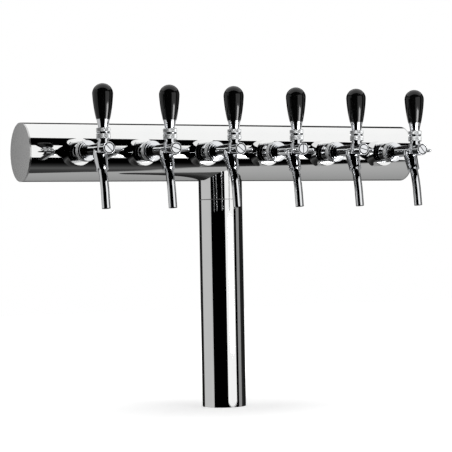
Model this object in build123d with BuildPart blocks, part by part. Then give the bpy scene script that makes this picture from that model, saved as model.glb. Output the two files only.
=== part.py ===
from build123d import *
from math import atan, cos, degrees, radians, sin, sqrt, tan
import os

# Six-tap beer tower in the shape of a T, in millimetres. The origin is the centre of the
# column's foot. X runs along the cross tube, the taps face -Y and Z is up.

# --- Taps in a row ---
TAP_COUNT = 6
TAP_PITCH = 122
TAP_BELOW_TUBE_AXIS = 3

# --- Tower ---
TUBE_OD = 104
TUBE_WALL = 2
TUBE_PAST_LAST_TAP = 82
CAP_THICKNESS = 3
CAP_SPIGOT_LENGTH = 8
CAP_SPIGOT_WALL = 3
CAP_SPIGOT_CLEARANCE = 0.2
COLUMN_OD = 80
COLUMN_WALL = 2
SEAM_Z = 380
SEAM_CHAMFER = 0.5
NECK_SIDE_LENGTH = 34
SLEEVE_WALL = 2.4
SLEEVE_BELOW_SEAM = 30
SLEEVE_BELOW_TUBE = 6
SLEEVE_CLEARANCE = 0.1
SCREW_R = 2.5
SCREW_CLEARANCE = 0.05
SCREW_BELOW_SEAM = 15
SCREW_ANGLES = (65, 115)
BASE_RING_HEIGHT = 12
BASE_RING_BORE_R = 22.1
BASE_BOLT_COUNT = 3
BASE_BOLT_R = 4

# --- Tap bosses on the tube ---
BOSS_STANDOFF = 26
BOSS_R = 24
BOSS_WALL = 3
BOSS_FACE_THICKNESS = 5
BOSS_CHAMFER = 0.8

# --- Shank ---
SHANK_R = 11
SHANK_CLEARANCE = 0.5
SHANK_BORE_R = 3.5
SEAL_THICKNESS = 1.5
COLLAR_LENGTH = 13.5
COLLAR_GROOVE_DEPTH = 0.8
COLLAR_GROOVE_WIDTH = 2
SPIGOT_LENGTH = 12
NIPPLE_R = 8
NIPPLE_LENGTH = 5
WASHER_R = 17
WASHER_THICKNESS = 7
SHANK_NUT_FLATS = 30
SHANK_NUT_THICKNESS = 6
NUT_CLEARANCE = 0.05
LINE_SOCKET_DEPTH = 3

# --- Coupling of body to shank ---
TAIL_SEAL_THICKNESS = 2
TAIL_SEAL_INSET = 0.5
TAIL_SEAL_BORE_R = 6
RING_FROM_TAIL = 3.6
RING_WIDTH = 2
RING_DEPTH = 0.9
RING_PROUD = 0.9
RING_CLEARANCE = 0.3
COUPLING_WALL = 2.3
COUPLING_LIP = 3.4
COUPLING_GAP = 2
COUPLING_CLEARANCE = 0.2
COUPLING_CHAMFER = 0.8
COUPLING_GROOVE_FROM_BACK = 7
COUPLING_GROOVE_DEPTH = 0.7
COUPLING_GROOVE_WIDTH = 1.2

# --- Tap body ---
BARREL_R = 14.5
BARREL_WALL = 3
SHOULDER_PAST_COUPLING = 0.4
SHOULDER_R = 16.5
SHOULDER_WIDTH = 3.6
BARREL_STEP_WIDTH = 4
BARREL_STEP_R = 12
BARREL_WAIST_R = 10
BARREL_WAIST_WALL = 2.8
HEAD_R = 10.4
VALVE_CHAMBER_R = 11
VALVE_CHAMBER_TOP = 11
VALVE_CHAMBER_BASE = -7
HEAD_PAST_HANDLE = 25
NECK_R = 9.2
NECK_ABOVE_PIVOT = 4
TAPER_BEFORE_SEAT = 34
SEAT_PAST_COMPENSATOR = 21
SEAT_THICKNESS = 3
SEAT_R = 4.5
PLUG_SEAT_WIDTH = 1.8
PLUG_LENGTH = 10.3
PLUG_PROUD = 0.3
PLUG_CLEARANCE = 0.1
PLUG_RECESS_WIDTH = 1
PLUG_RECESS_DEPTH = 2
PLUG_SLOT_WIDTH = 1.4
PLUG_SLOT_DEPTH = 1.2
PLUG_SLOT_ANGLES = (45, 20, 40, 90, 15, 50)

# --- Nozzle and spout ---
NOZZLE_PAST_BARREL = 1.6
NOZZLE_LEAN = 21.5
NOZZLE_ROOT_R = 9.9
NOZZLE_BELLY_R = 12.4
NOZZLE_BELLY = 9
NOZZLE_MOUTH_R = 10.5
NOZZLE_RIM_R = 10.9
NOZZLE_RIM_WIDTH = 1.5
NOZZLE_LENGTH = 37.6
NOZZLE_BORE_R = 4
SPOUT_R = 7.25
SPOUT_WALL = 1.5
SPOUT_CLEARANCE = 0.1
SPOUT_SOCKET_DEPTH = 12
SPOUT_STRAIGHT = 3.4
SPOUT_BEND_R = 150
SPOUT_END_LEAN = 7
SPOUT_END_LENGTH = 26

# --- Handle ---
HANDLE_PAST_NOZZLE = 20.4
HANDLE_THROW = 30
PIVOT_Z = 13
BALL_R = 6
BALL_CLEARANCE = 0.05
SEAT_BELOW_PIVOT = 2.4
FINGER_R = 2
FINGER_TIP_R = 2.5
FINGER_GAP = 0.2
STEM_R = 3
STEM_IN_KNOB = 25.8
STEM_CLEARANCE = 0.05
BONNET_R = 11.75
BONNET_OVER_NECK = 1.3
BONNET_THREAD_CLEARANCE = 0.05
BONNET_SLOT_SIDE_GAP = 0.2
BONNET_SLOT_END_GAP = 0.4
DOME_R = 17.15
DOME_GAP = 0.5
BONNET_CHAMFER = 0.6
SKIRT_ABOVE_PIVOT = 21.7
FERRULE_WAIST_R = 8.3
FERRULE_TOP_R = 11
FERRULE_LENGTH = 14.5
FERRULE_BEAD = 1.2
KNOB_BOTTOM_R = 11.7
KNOB_MIDDLE_R = 15.5
KNOB_MIDDLE = 20.8
KNOB_R = 17.6
KNOB_LENGTH = 60.3
KNOB_BORE_SPARE = 0.3

# --- Valve plunger ---
PLUNGER_HEAD_R = 6.5
PLUNGER_HEAD_THICKNESS = 5.4
PLUNGER_SEAT_GAP = 0.1
PLUNGER_STEM_R = 2.5
PISTON_R = 6.5
PISTON_CLEARANCE = 0.1
PISTON_BEHIND_HANDLE = 7
PISTON_PAST_HANDLE = 10
POCKET_SIDE_GAP = 0.6
POCKET_FLOOR_GAP = 0.7
POCKET_TOP_GAP = 0.5
POCKET_CONE_BASE = 1.7

# --- Compensator ---
COMPENSATOR_FROM_TAIL = 36
SIDE_BOSS_R = 7.5
SIDE_BOSS_END = 20
GLAND_R = 7
GLAND_THICKNESS = 6
SHAFT_R = 4
SHAFT_CLEARANCE = 0.05
SHAFT_TO_BLADE_GAP = 0.6
HUB_R = 6
HUB_GAP = 0.3
HUB_THICKNESS = 9.7
ARM_ROOT_R = 4.6
ARM_TIP_R = 2.6
ARM_BALL_R = 3
ARM_BALL_OUT = 2.5
ARM_REACH = 34
ECCENTRIC = 2.7
PIN_R = 1.25
CONE_FROM_TAIL = 5
CONE_BEHIND_SHAFT = 7
CONE_GAP = 1
BLADE_HALF_THICKNESS = 2
BLADE_HALF_HEIGHT = 5.5
BLADE_PAST_SHAFT = 4
BLADE_SLOT_CLEARANCE = 0.35
BLADE_SLOT_BOTTOM = 0.35

# --- Beer lines ---
LINE_R = 4
LINE_WALL = 1.25
LINE_CLEARANCE = 0.05
LINE_CIRCLE_R = 13
LINE_FIRST_BEND_R = 20
LINE_SECOND_BEND_R = 25
LINE_END_Z = 2

# --- Tower sizes worked out from those above ---
TUBE_R = TUBE_OD / 2
TUBE_INNER_R = TUBE_R - TUBE_WALL
TUBE_LENGTH = TAP_PITCH * (TAP_COUNT - 1) + 2 * TUBE_PAST_LAST_TAP
TUBE_HALF = TUBE_LENGTH / 2 - CAP_THICKNESS
TUBE_AXIS_Z = SEAM_Z + NECK_SIDE_LENGTH + TUBE_R
COLUMN_R = COLUMN_OD / 2
COLUMN_INNER_R = COLUMN_R - COLUMN_WALL
SLEEVE_R = COLUMN_INNER_R - SLEEVE_CLEARANCE
TAP_Z = TUBE_AXIS_Z - TAP_BELOW_TUBE_AXIS
BOSS_FACE_Y = -(TUBE_R + BOSS_STANDOFF)
TUBE_AXIS_BEHIND = -BOSS_FACE_Y
TAP_XS = [TAP_PITCH * (number - (TAP_COUNT - 1) / 2) for number in range(TAP_COUNT)]
TAP_SEATS = [(x, BOSS_FACE_Y, TAP_Z) for x in TAP_XS]

# --- Stations along a tap, ahead of the boss face, worked out from the lengths above ---
WASHER_FACE = sqrt(TUBE_INNER_R**2 - TAP_BELOW_TUBE_AXIS**2) - TUBE_AXIS_BEHIND
WASHER_BACK = WASHER_FACE - WASHER_THICKNESS
SHANK_NUT_BACK = WASHER_BACK - SHANK_NUT_THICKNESS
SHANK_BACK = SHANK_NUT_BACK - NIPPLE_LENGTH
COLLAR_END = SEAL_THICKNESS + COLLAR_LENGTH
COUPLING_START = COLLAR_END + COUPLING_GAP
SPIGOT_END = COLLAR_END + SPIGOT_LENGTH
BODY_BACK = SPIGOT_END + TAIL_SEAL_THICKNESS
RING_START = BODY_BACK + RING_FROM_TAIL
RING_END = RING_START + RING_WIDTH
COUPLING_END = RING_END + COUPLING_LIP
SHOULDER_START = COUPLING_END + SHOULDER_PAST_COUPLING
SHOULDER_END = SHOULDER_START + SHOULDER_WIDTH
FIRST_STEP_END = SHOULDER_END + BARREL_STEP_WIDTH
SECOND_STEP_END = FIRST_STEP_END + BARREL_STEP_WIDTH
COMPENSATOR_AT = BODY_BACK + COMPENSATOR_FROM_TAIL
SEAT_START = COMPENSATOR_AT + SEAT_PAST_COMPENSATOR
REAR_CHAMBER_TAPER_END = SEAT_START - TAPER_BEFORE_SEAT
BARREL_END = SEAT_START + SEAT_THICKNESS
NOZZLE_ROOT = BARREL_END + NOZZLE_PAST_BARREL
HANDLE_REACH = NOZZLE_ROOT + HANDLE_PAST_NOZZLE
HEAD_END = HANDLE_REACH + HEAD_PAST_HANDLE
PLUG_START = HEAD_END + PLUG_PROUD - PLUG_LENGTH

# --- Radii and heights in a tap that follow from what fits there ---
SHANK_HOLE_R = SHANK_R + SHANK_CLEARANCE
COUPLING_BORE_R = BARREL_R + RING_PROUD + RING_CLEARANCE
COUPLING_R = COUPLING_BORE_R + COUPLING_WALL
SPIGOT_R = COUPLING_BORE_R - COUPLING_CLEARANCE
REAR_CHAMBER_R = BARREL_R - BARREL_WALL
REAR_CHAMBER_FRONT_R = BARREL_WAIST_R - BARREL_WAIST_WALL
FRONT_CHAMBER_R = PISTON_R + PISTON_CLEARANCE
PLUG_BORE_R = FRONT_CHAMBER_R + PLUG_SEAT_WIDTH
PLUG_R = PLUG_BORE_R - PLUG_CLEARANCE
PLUG_RECESS_R = PLUG_BORE_R + PLUG_RECESS_WIDTH
SOCKET_R = SPOUT_R + SPOUT_CLEARANCE
THROW_SLOPE = tan(radians(HANDLE_THROW))
FINGER_HALF_WIDTH = FINGER_R / cos(radians(HANDLE_THROW))
BALL_SEAT_R = BALL_R + BALL_CLEARANCE
NECK_TOP = PIVOT_Z + NECK_ABOVE_PIVOT
SKIRT_TOP = PIVOT_Z + SKIRT_ABOVE_PIVOT
FERRULE_TOP = SKIRT_TOP + FERRULE_LENGTH
KNOB_TOP = FERRULE_TOP + KNOB_LENGTH
STEM_TOP = FERRULE_TOP + STEM_IN_KNOB

# A tap is drawn in its own frame: origin on its axis at the boss face, X right, -Y ahead, Z up.
AHEAD = Axis((0, 0, 0), (0, -1, 0))
SIDE = Plane(origin=(0, 0, 0), x_dir=(0, -1, 0), z_dir=(-1, 0, 0))
FRONT = Plane.XZ
HANDLE_AXIS = Axis((0, -HANDLE_REACH, 0), (0, 0, 1))
HANDLE_SIDE = Plane(origin=(0, -HANDLE_REACH, 0), x_dir=(0, -1, 0), z_dir=(-1, 0, 0))
SHAFT_SIDE = Plane(origin=(0, -COMPENSATOR_AT, 0), x_dir=(0, 1, 0), z_dir=(1, 0, 0))

os.makedirs("parts", exist_ok=True)


def on_every_tap(piece, name):
    """Write one node that holds this piece once on each tap."""
    with BuildPart() as group:
        with Locations(*TAP_SEATS):
            add(piece.part)
    group.part.label = name
    export_step(group.part, f"parts/{name}.step")


def one_for_each_tap(piece, name):
    """Write this piece as a numbered node of its own on each tap, from left to right."""
    for number, seat in enumerate(TAP_SEATS, start=1):
        with BuildPart() as single:
            with Locations(seat):
                add(piece.part)
        single.part.label = f"{name}_{number}"
        export_step(single.part, f"parts/{name}_{number}.step")


def ring_sketch(outer_r, inner_r):
    """A plain ring in the plane of the sketch that is open."""
    Circle(outer_r)
    Circle(inner_r, mode=Mode.SUBTRACT)


# --- Cross tube: one straight tube with a hole for each shank and one for the lines ---
with BuildPart() as cross_tube:
    with BuildSketch(Plane.YZ.offset(-TUBE_HALF)):
        with Locations((0, TUBE_AXIS_Z)):
            ring_sketch(TUBE_R, TUBE_INNER_R)
    extrude(amount=2 * TUBE_HALF)
    with BuildSketch(FRONT):
        with Locations(*[(x, TAP_Z) for x in TAP_XS]):
            Circle(SHANK_HOLE_R)
    extrude(amount=TUBE_OD, mode=Mode.SUBTRACT)
    with BuildSketch(Plane.XY.offset(TUBE_AXIS_Z)):
        Circle(COLUMN_INNER_R - 1)
    extrude(amount=-TUBE_OD, mode=Mode.SUBTRACT)
cross_tube.part.label = "cross_tube"
export_step(cross_tube.part, "parts/cross_tube.step")

# --- End caps: a flat disc flush with the tube, on a spigot ring inside it ---
for side, name in ((-1, "end_cap_left"), (1, "end_cap_right")):
    with BuildPart() as end_cap:
        with BuildSketch(Plane.YZ.offset(side * TUBE_HALF)):
            with Locations((0, TUBE_AXIS_Z)):
                Circle(TUBE_R)
        extrude(amount=side * CAP_THICKNESS)
        with BuildSketch(Plane.YZ.offset(side * TUBE_HALF)):
            with Locations((0, TUBE_AXIS_Z)):
                spigot_r = TUBE_INNER_R - CAP_SPIGOT_CLEARANCE
                ring_sketch(spigot_r, spigot_r - CAP_SPIGOT_WALL)
        extrude(amount=-side * CAP_SPIGOT_LENGTH)
    end_cap.part.label = name
    export_step(end_cap.part, f"parts/{name}.step")

# --- Neck tube: the short upper end of the column, saddle-cut to the cross tube ---
with BuildPart() as neck_tube:
    with BuildSketch(Plane.XY.offset(SEAM_Z)):
        ring_sketch(COLUMN_R, COLUMN_INNER_R)
    extrude(amount=TUBE_AXIS_Z - SEAM_Z)
    chamfer(neck_tube.edges().group_by(Axis.Z)[0].sort_by(SortBy.RADIUS)[-1], SEAM_CHAMFER)
    with BuildSketch(Plane.YZ.offset(-COLUMN_OD)):
        with Locations((0, TUBE_AXIS_Z)):
            Circle(TUBE_R)
    extrude(amount=2 * COLUMN_OD, mode=Mode.SUBTRACT)
neck_tube.part.label = "neck_tube"
export_step(neck_tube.part, "parts/neck_tube.step")

# --- Column tube: from the foot to the seam, with two screw holes at the back ---
SCREW_Z = SEAM_Z - SCREW_BELOW_SEAM
SCREW_PLANES = [
    Plane(origin=(0, 0, SCREW_Z), z_dir=(cos(radians(angle)), sin(radians(angle)), 0))
    for angle in SCREW_ANGLES
]
with BuildPart() as column_tube:
    with BuildSketch(Plane.XY):
        ring_sketch(COLUMN_R, COLUMN_INNER_R)
    extrude(amount=SEAM_Z)
    chamfer(column_tube.edges().group_by(Axis.Z)[-1].sort_by(SortBy.RADIUS)[-1], SEAM_CHAMFER)
    for plane in SCREW_PLANES:
        with BuildSketch(plane):
            Circle(SCREW_R + SCREW_CLEARANCE)
        extrude(amount=COLUMN_OD, mode=Mode.SUBTRACT)
column_tube.part.label = "column_tube"
export_step(column_tube.part, "parts/column_tube.step")

# --- Joint sleeve: sits inside both tubes across the seam ---
with BuildPart() as joint_sleeve:
    with BuildSketch(Plane.XY.offset(SEAM_Z - SLEEVE_BELOW_SEAM)):
        ring_sketch(SLEEVE_R, SLEEVE_R - SLEEVE_WALL)
    extrude(amount=SLEEVE_BELOW_SEAM + NECK_SIDE_LENGTH - SLEEVE_BELOW_TUBE)
    for plane in SCREW_PLANES:
        with BuildSketch(plane):
            Circle(SCREW_R + SCREW_CLEARANCE)
        extrude(amount=COLUMN_OD, mode=Mode.SUBTRACT)
joint_sleeve.part.label = "joint_sleeve"
export_step(joint_sleeve.part, "parts/joint_sleeve.step")

# --- Grub screws: hold the column to the sleeve from the back ---
with BuildPart() as joint_screws:
    for plane in SCREW_PLANES:
        with BuildSketch(plane.offset(SLEEVE_R - SLEEVE_WALL)):
            Circle(SCREW_R)
        extrude(amount=SLEEVE_WALL + COLUMN_WALL)
joint_screws.part.label = "joint_screws"
export_step(joint_screws.part, "parts/joint_screws.step")

# --- Base ring: the bolt ring inside the foot of the column ---
with BuildPart() as base_ring:
    with BuildSketch(Plane.XY):
        ring_sketch(SLEEVE_R, BASE_RING_BORE_R)
        with PolarLocations((SLEEVE_R + BASE_RING_BORE_R) / 2, BASE_BOLT_COUNT, start_angle=90):
            Circle(BASE_BOLT_R, mode=Mode.SUBTRACT)
    extrude(amount=BASE_RING_HEIGHT)
base_ring.part.label = "base_ring"
export_step(base_ring.part, "parts/base_ring.step")

# --- Tap boss: a shallow cup welded on the tube, whose flat face carries the tap ---
with BuildPart() as tap_boss:
    with BuildSketch(FRONT):
        Circle(BOSS_R)
    extrude(amount=-(BOSS_STANDOFF + BOSS_R))
    chamfer(tap_boss.edges().group_by(Axis.Y)[0], BOSS_CHAMFER)
    with BuildSketch(FRONT.offset(-BOSS_FACE_THICKNESS)):
        Circle(BOSS_R - BOSS_WALL)
    extrude(amount=-TUBE_AXIS_BEHIND, mode=Mode.SUBTRACT)
    with BuildSketch(FRONT):
        Circle(SHANK_HOLE_R)
    extrude(amount=-BOSS_FACE_THICKNESS, mode=Mode.SUBTRACT)
    with BuildSketch(Plane.YZ.offset(-TUBE_OD)):
        with Locations((TUBE_AXIS_BEHIND, TAP_BELOW_TUBE_AXIS)):
            Circle(TUBE_R)
    extrude(amount=2 * TUBE_OD, mode=Mode.SUBTRACT)
on_every_tap(tap_boss, "tap_bosses")

# --- Boss seal: a flat rubber ring between the boss and the shank's collar ---
with BuildPart() as boss_seal:
    with BuildSketch(FRONT):
        ring_sketch(COUPLING_R, SHANK_HOLE_R)
    extrude(amount=SEAL_THICKNESS)
on_every_tap(boss_seal, "boss_seals")

# --- Shank: the turned pipe that passes through boss and tube and carries the tap ---
GROOVE_START = (SEAL_THICKNESS + COLLAR_END - COLLAR_GROOVE_WIDTH) / 2
GROOVE_R = COUPLING_R - COLLAR_GROOVE_DEPTH
with BuildPart() as shank:
    with BuildSketch(SIDE):
        with BuildLine():
            Polyline(
                (SHANK_BACK, SHANK_BORE_R),
                (SHANK_BACK, NIPPLE_R),
                (SHANK_NUT_BACK, NIPPLE_R),
                (SHANK_NUT_BACK, SHANK_R),
                (SEAL_THICKNESS, SHANK_R),
                (SEAL_THICKNESS, COUPLING_R),
                (GROOVE_START, COUPLING_R),
                (GROOVE_START, GROOVE_R),
                (GROOVE_START + COLLAR_GROOVE_WIDTH, GROOVE_R),
                (GROOVE_START + COLLAR_GROOVE_WIDTH, COUPLING_R),
                (COLLAR_END, COUPLING_R),
                (COLLAR_END, SPIGOT_R),
                (SPIGOT_END, SPIGOT_R),
                (SPIGOT_END, SHANK_BORE_R),
                close=True,
            )
        make_face()
    revolve(axis=AHEAD)
    with BuildSketch(FRONT.offset(SHANK_BACK)):
        Circle(LINE_R + LINE_CLEARANCE)
    extrude(amount=LINE_SOCKET_DEPTH, mode=Mode.SUBTRACT)
on_every_tap(shank, "shanks")

# --- Saddle washer: its front is curved to the inside of the tube ---
with BuildPart() as saddle_washer:
    with BuildSketch(FRONT.offset(WASHER_BACK)):
        ring_sketch(WASHER_R, SHANK_HOLE_R)
    extrude(amount=TUBE_AXIS_BEHIND)
    with BuildSketch(Plane.YZ.offset(-TUBE_OD)):
        with Locations((TUBE_AXIS_BEHIND, TAP_BELOW_TUBE_AXIS)):
            Circle(TUBE_INNER_R)
    extrude(amount=2 * TUBE_OD, mode=Mode.INTERSECT)
on_every_tap(saddle_washer, "saddle_washers")

# --- Shank nut: pulls the shank's collar and the boss against the tube ---
with BuildPart() as shank_nut:
    with BuildSketch(FRONT.offset(SHANK_NUT_BACK)):
        RegularPolygon(SHANK_NUT_FLATS / 2, 6, major_radius=False)
        Circle(SHANK_R + NUT_CLEARANCE, mode=Mode.SUBTRACT)
    extrude(amount=SHANK_NUT_THICKNESS)
on_every_tap(shank_nut, "shank_nuts")

# --- Tail seal: lies between the shank's spigot and the tap body ---
with BuildPart() as tail_seal:
    with BuildSketch(FRONT.offset(SPIGOT_END)):
        ring_sketch(BARREL_R - TAIL_SEAL_INSET, TAIL_SEAL_BORE_R)
    extrude(amount=TAIL_SEAL_THICKNESS)
on_every_tap(tail_seal, "tail_seals")

# --- Retaining ring: snapped into the barrel's groove, it takes the coupling nut's pull ---
with BuildPart() as retaining_ring:
    with BuildSketch(FRONT.offset(RING_START)):
        ring_sketch(BARREL_R + RING_PROUD, BARREL_R - RING_DEPTH)
    extrude(amount=RING_WIDTH)
on_every_tap(retaining_ring, "retaining_rings")

# --- Coupling nut: the grooved sleeve nut that draws the body on to the shank ---
with BuildPart() as coupling_nut:
    with BuildSketch(FRONT.offset(COUPLING_START)):
        ring_sketch(COUPLING_R, COUPLING_BORE_R)
    extrude(amount=COUPLING_END - COUPLING_START)
    with BuildSketch(FRONT.offset(RING_END)):
        ring_sketch(COUPLING_R, BARREL_R + COUPLING_CLEARANCE)
    extrude(amount=COUPLING_END - RING_END)
    rim = coupling_nut.edges().group_by(Axis.Y)[0].sort_by(SortBy.RADIUS)[-1]
    chamfer(rim, COUPLING_CHAMFER)
    with BuildSketch(FRONT.offset(COUPLING_START + COUPLING_GROOVE_FROM_BACK)):
        ring_sketch(COUPLING_R, COUPLING_R - COUPLING_GROOVE_DEPTH)
    extrude(amount=COUPLING_GROOVE_WIDTH, mode=Mode.SUBTRACT)
on_every_tap(coupling_nut, "coupling_nuts")

# --- Tap body: one casting of barrel, valve chamber, neck, side boss and nozzle, bored inside ---
LEAN_SIN = sin(radians(NOZZLE_LEAN))
LEAN_COS = cos(radians(NOZZLE_LEAN))
NOZZLE_DIRECTION = (0, -LEAN_SIN, -LEAN_COS)
NOZZLE_AXIS = Axis((0, -NOZZLE_ROOT, 0), NOZZLE_DIRECTION)
NOZZLE_SIDE = Plane(
    origin=(0, -NOZZLE_ROOT, 0), x_dir=(0, -LEAN_COS, LEAN_SIN), z_dir=(-1, 0, 0)
)


def across_nozzle(along):
    """The plane square to the nozzle at this distance along it, facing down the nozzle."""
    point = (0, -(NOZZLE_ROOT + along * LEAN_SIN), -along * LEAN_COS)
    return Plane(origin=point, x_dir=(1, 0, 0), z_dir=NOZZLE_DIRECTION)


with BuildPart() as tap_body:
    with BuildSketch(SIDE):
        with BuildLine():
            Polyline(
                (BODY_BACK, 0),
                (BODY_BACK, BARREL_R),
                (RING_START, BARREL_R),
                (RING_START, BARREL_R - RING_DEPTH),
                (RING_END, BARREL_R - RING_DEPTH),
                (RING_END, BARREL_R),
                (SHOULDER_START, BARREL_R),
                (SHOULDER_START, SHOULDER_R),
                (SHOULDER_END, SHOULDER_R),
                (SHOULDER_END, BARREL_R),
                (FIRST_STEP_END, BARREL_R),
                (FIRST_STEP_END, BARREL_STEP_R),
                (SECOND_STEP_END, BARREL_STEP_R),
                (SECOND_STEP_END, BARREL_WAIST_R),
                (HEAD_END, HEAD_R),
                (HEAD_END, 0),
                close=True,
            )
        make_face()
    revolve(axis=AHEAD)
    with BuildSketch(NOZZLE_SIDE):
        with BuildLine():
            Polyline(
                (0, 0),
                (NOZZLE_ROOT_R, 0),
                (NOZZLE_BELLY_R, -NOZZLE_BELLY),
                (NOZZLE_MOUTH_R, -(NOZZLE_LENGTH - NOZZLE_RIM_WIDTH)),
                (NOZZLE_RIM_R, -(NOZZLE_LENGTH - NOZZLE_RIM_WIDTH)),
                (NOZZLE_RIM_R, -NOZZLE_LENGTH),
                (0, -NOZZLE_LENGTH),
                close=True,
            )
        make_face()
    revolve(axis=NOZZLE_AXIS)
    with BuildSketch(HANDLE_SIDE):
        with BuildLine():
            Polyline(
                (0, VALVE_CHAMBER_BASE),
                (VALVE_CHAMBER_R, VALVE_CHAMBER_BASE),
                (VALVE_CHAMBER_R, VALVE_CHAMBER_TOP),
                (NECK_R, VALVE_CHAMBER_TOP),
                (NECK_R, NECK_TOP),
                (0, NECK_TOP),
                close=True,
            )
        make_face()
    revolve(axis=HANDLE_AXIS)
    with BuildSketch(SHAFT_SIDE):
        Circle(SIDE_BOSS_R)
    extrude(amount=SIDE_BOSS_END)
    # Bores along the tap: rear chamber, valve seat, front chamber and the plug's seat.
    with BuildSketch(SIDE):
        with BuildLine():
            Polyline(
                (BODY_BACK, 0),
                (BODY_BACK, REAR_CHAMBER_R),
                (REAR_CHAMBER_TAPER_END, REAR_CHAMBER_FRONT_R),
                (SEAT_START, REAR_CHAMBER_FRONT_R),
                (SEAT_START, SEAT_R),
                (BARREL_END, SEAT_R),
                (BARREL_END, FRONT_CHAMBER_R),
                (PLUG_START, FRONT_CHAMBER_R),
                (PLUG_START, PLUG_BORE_R),
                (HEAD_END - PLUG_RECESS_DEPTH, PLUG_BORE_R),
                (HEAD_END - PLUG_RECESS_DEPTH, PLUG_RECESS_R),
                (HEAD_END, PLUG_RECESS_R),
                (HEAD_END, 0),
                close=True,
            )
        make_face()
    revolve(axis=AHEAD, mode=Mode.SUBTRACT)
    # The lever's ball sits in the neck, over a relief that opens into the front chamber.
    with BuildSketch(HANDLE_SIDE):
        seat_z = PIVOT_Z - SEAT_BELOW_PIVOT
        seat_edge_r = sqrt(BALL_SEAT_R**2 - SEAT_BELOW_PIVOT**2)
        relief_r = FINGER_HALF_WIDTH + (PIVOT_Z - FRONT_CHAMBER_R) * THROW_SLOPE + FINGER_GAP
        with BuildLine():
            Line((0, 0), (relief_r, 0))
            Line((relief_r, 0), (relief_r, FRONT_CHAMBER_R))
            Line((relief_r, FRONT_CHAMBER_R), (seat_edge_r, seat_z))
            RadiusArc((seat_edge_r, seat_z), (BALL_SEAT_R, PIVOT_Z), -BALL_SEAT_R)
            Line((BALL_SEAT_R, PIVOT_Z), (BALL_SEAT_R, NECK_TOP))
            Line((BALL_SEAT_R, NECK_TOP), (0, NECK_TOP))
            Line((0, NECK_TOP), (0, 0))
        make_face()
    revolve(axis=HANDLE_AXIS, mode=Mode.SUBTRACT)
    with BuildSketch(SHAFT_SIDE):
        Circle(SHAFT_R + SHAFT_CLEARANCE)
    extrude(amount=SIDE_BOSS_END, mode=Mode.SUBTRACT)
    with BuildSketch(across_nozzle(0)):
        Circle(NOZZLE_BORE_R)
    extrude(amount=NOZZLE_LENGTH, mode=Mode.SUBTRACT)
    with BuildSketch(across_nozzle(NOZZLE_LENGTH - SPOUT_SOCKET_DEPTH)):
        Circle(SOCKET_R)
    extrude(amount=SPOUT_SOCKET_DEPTH, mode=Mode.SUBTRACT)
on_every_tap(tap_body, "tap_bodies")

# --- Spout tube: drawn pipe, straight in the nozzle, then bent towards the vertical ---
SPOUT_TOP = NOZZLE_LENGTH - SPOUT_SOCKET_DEPTH
with BuildPart() as spout_tube:
    with BuildLine(SIDE) as spout_path:
        spout_bend_start = across_nozzle(NOZZLE_LENGTH + SPOUT_STRAIGHT).origin
        straight = Line(across_nozzle(SPOUT_TOP).origin, spout_bend_start)
        bend = JernArc(
            start=straight @ 1,
            tangent=straight % 1,
            radius=SPOUT_BEND_R,
            arc_size=SPOUT_END_LEAN - NOZZLE_LEAN,
        )
        Line(bend @ 1, bend @ 1 + (bend % 1) * SPOUT_END_LENGTH)
    with BuildSketch(across_nozzle(SPOUT_TOP)):
        ring_sketch(SPOUT_R, SPOUT_R - SPOUT_WALL)
    sweep(path=spout_path.wires()[0])
on_every_tap(spout_tube, "spout_tubes")

# --- Front plug: a slotted disc that closes the head, each turned as it was screwed home ---
with BuildPart() as front_plug:
    with BuildSketch(FRONT.offset(PLUG_START)):
        Circle(PLUG_R)
    extrude(amount=PLUG_LENGTH)
    with BuildSketch(FRONT.offset(HEAD_END + PLUG_PROUD)):
        Rectangle(2 * PLUG_R + 1, PLUG_SLOT_WIDTH)
    extrude(amount=-PLUG_SLOT_DEPTH, mode=Mode.SUBTRACT)
with BuildPart() as front_plugs:
    for seat, angle in zip(TAP_SEATS, PLUG_SLOT_ANGLES):
        with Locations(Location(seat, (0, angle, 0))):
            add(front_plug.part)
front_plugs.part.label = "front_plugs"
export_step(front_plugs.part, "parts/front_plugs.step")

# --- Bonnet nut: holds the ball down, with a dome on top and a slot for the lever's travel ---
SLOT_BASE = BALL_R / 2
SLOT_HEIGHT = DOME_R + 3
SLOT_REAR = STEM_R + BONNET_SLOT_END_GAP
SLOT_HALF_WIDTH = STEM_R + BONNET_SLOT_SIDE_GAP


def slot_front(height):
    """How far ahead of the pivot the slot reaches at this height above it."""
    return height * THROW_SLOPE + STEM_R / cos(radians(HANDLE_THROW)) + BONNET_SLOT_END_GAP


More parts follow.
